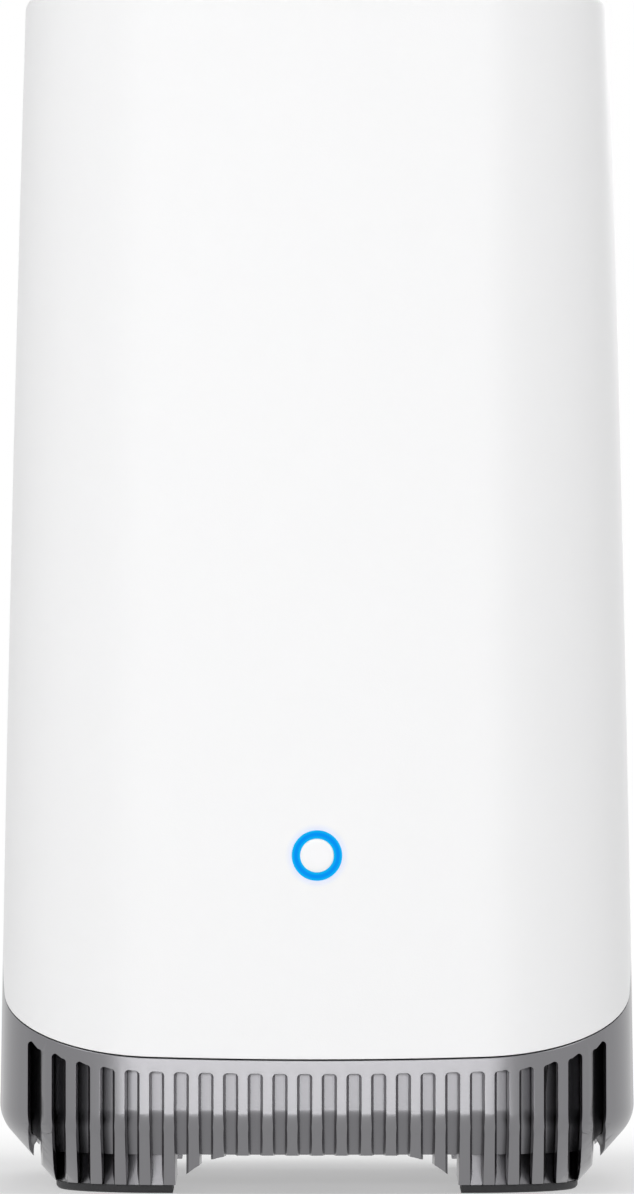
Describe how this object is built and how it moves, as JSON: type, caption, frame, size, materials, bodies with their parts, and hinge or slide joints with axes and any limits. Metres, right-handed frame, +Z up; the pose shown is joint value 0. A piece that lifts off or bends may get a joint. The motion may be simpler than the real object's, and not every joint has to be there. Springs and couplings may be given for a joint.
{
  "type": "security camera base station",
  "caption": "Tapered rounded-square base station: white cover, grey finned base on padded feet, status light ring, rear port panel and a drive bay under a hinged door.",
  "frame": {"origin": "on the surface the object stands on, under the middle of its plan", "axes": "+Z up, the front with the status light faces -Y, +X to the right of a person who looks at the front"},
  "size_m": [0.104, 0.104, 0.193],
  "materials": {
    "cover_white": "fine satin moulded plastic",
    "ring_light": "clear ring lit blue from behind",
    "ring_core_white": "white, slightly translucent",
    "base_grey": "grey metallic satin paint on plastic",
    "tub_grey": "grey metallic satin paint on plastic",
    "panel_grey": "fine spark texture",
    "door_grey": "fine spark texture",
    "button_grey": "satin",
    "pad_rubber": "matt",
    "steel_sheet": "plated sheet",
    "sink_aluminium": "extruded",
    "black_plastic": "moulded",
    "chip_black": "matt",
    "board_green": "solder mask",
    "contact_brass": "plated",
    "carrier_white": "natural",
    "antenna_copper": "printed board",
    "led_white": "clear resin",
    "speaker_black": "stamped, black",
    "magnet_steel": "plated",
    "cone_paper": "pressed",
    "screw_steel": "plated"
  },
  "bodies": {
    "housing": {"antenna_carrier": "carrier_white", "antenna_left": "antenna_copper", "antenna_right": "antenna_copper", "board_screws": "screw_steel", "board_standoffs": "contact_brass", "cage_screws": "screw_steel", "cover_screws": "screw_steel", "drive_cage": "steel_sheet", "ethernet_contacts": "contact_brass", "ethernet_jack": "black_plastic", "fan_frame": "black_plastic", "fan_screws": "screw_steel", "fin_skirt": "base_grey", "foot_pad_front_left": "pad_rubber", "foot_pad_front_right": "pad_rubber", "foot_pad_rear_left": "pad_rubber", "foot_pad_rear_right": "pad_rubber", "heat_sink": "sink_aluminium", "hinge_pins": "screw_steel", "inner_tub": "tub_grey", "led_board": "board_green", "led_board_screws": "screw_steel", "led_chips": "led_white", "light_ring": "ring_light", "main_board": "board_green", "memory_chips": "chip_black", "port_panel": "panel_grey", "power_jack": "black_plastic", "power_pin": "contact_brass", "processor": "chip_black", "radio_shield": "steel_sheet", "reset_switch": "chip_black", "ring_core": "ring_core_white", "sata_board": "board_green", "sata_connector": "black_plastic", "sata_screws": "screw_steel", "speaker_basket": "speaker_black", "speaker_cone": "cone_paper", "speaker_gasket": "pad_rubber", "speaker_magnet": "magnet_steel", "sync_switch": "chip_black", "top_shell": "cover_white", "usb_shell": "steel_sheet", "usb_tongue": "black_plastic"},
    "sync_button": {"sync_button": "button_grey", "sync_plunger": "black_plastic"},
    "reset_plunger": {"reset_plunger": "ring_core_white"},
    "fan_rotor": {"fan_rotor": "black_plastic"},
    "drive_door": {"drive_door": "door_grey", "door_screw": "screw_steel"}
  },
  "joints": [
    {"name": "sync_press", "type": "slide", "parent": "housing", "child": "sync_button", "axis": [0, -1, 0], "range_m": [0, 0.0008], "stiffness_N_per_m": 600},
    {"name": "reset_press", "type": "slide", "parent": "housing", "child": "reset_plunger", "axis": [0, -1, 0], "range_m": [0, 0.0004], "stiffness_N_per_m": 800},
    {"name": "fan_spin", "type": "hinge", "parent": "housing", "child": "fan_rotor", "pos_m": [0, 0.0435, 0.088], "axis": [0, 1, 0], "continuous": true},
    {"name": "drive_door_swing", "type": "hinge", "parent": "housing", "child": "drive_door", "pos_m": [0, 0.0096, 0.0079], "axis": [1, 0, 0], "range_deg": [0, 95]}
  ]
}
